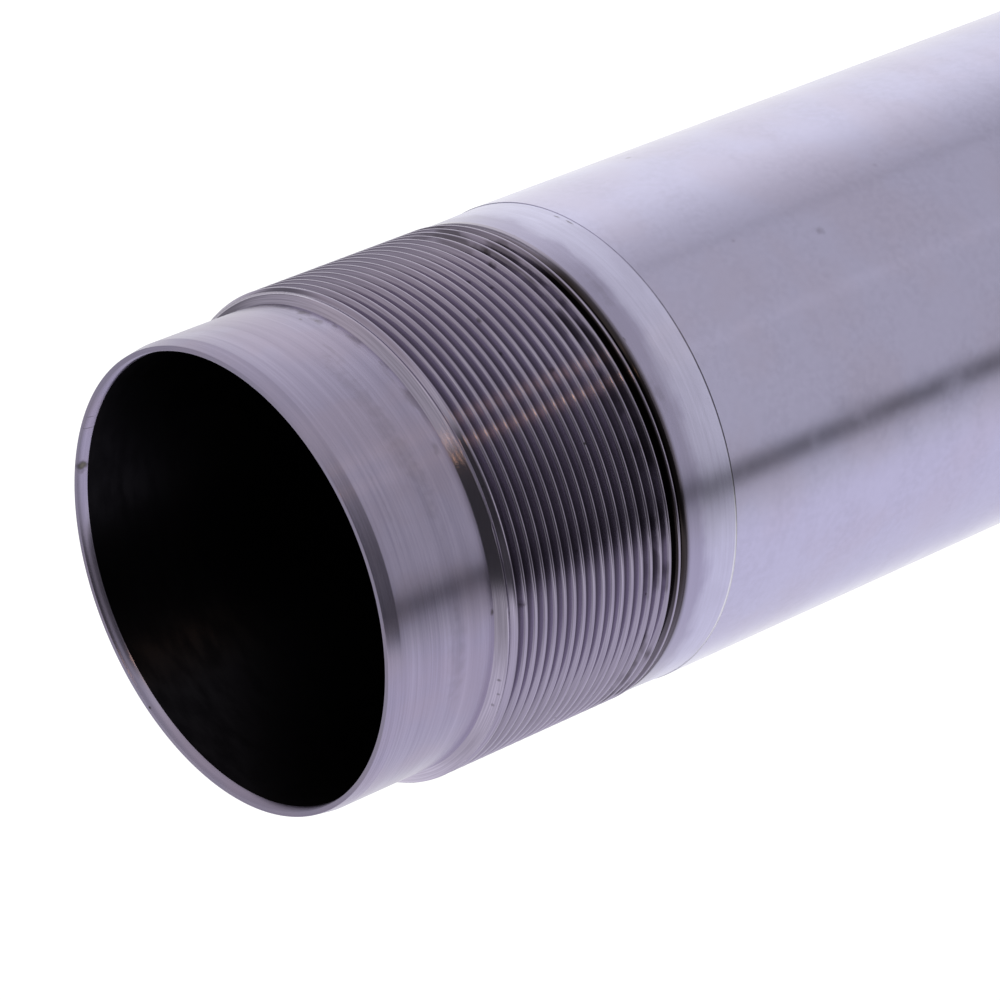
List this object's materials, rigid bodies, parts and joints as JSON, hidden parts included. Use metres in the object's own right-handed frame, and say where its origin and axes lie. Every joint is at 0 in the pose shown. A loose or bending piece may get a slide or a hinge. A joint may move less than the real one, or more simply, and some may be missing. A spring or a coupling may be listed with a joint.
{
  "type": "motorcycle fork tube",
  "caption": "Long hard-chromed steel tube with a plain spigot and a fine external thread at one end and a shallow bush groove near the other.",
  "frame": {"origin": "centre of the plain end's face, which the tube stands on", "axes": "+Z along the tube's axis, from the plain end to the threaded end; X and Y lie across the tube"},
  "size_m": [0.041, 0.041, 0.52],
  "materials": {
    "tube_steel": "hard-chromed and polished steel, with a bare fine-turned spigot and thread"
  },
  "bodies": {
    "root": {"fork_tube": "tube_steel"}
  },
  "joints": []
}
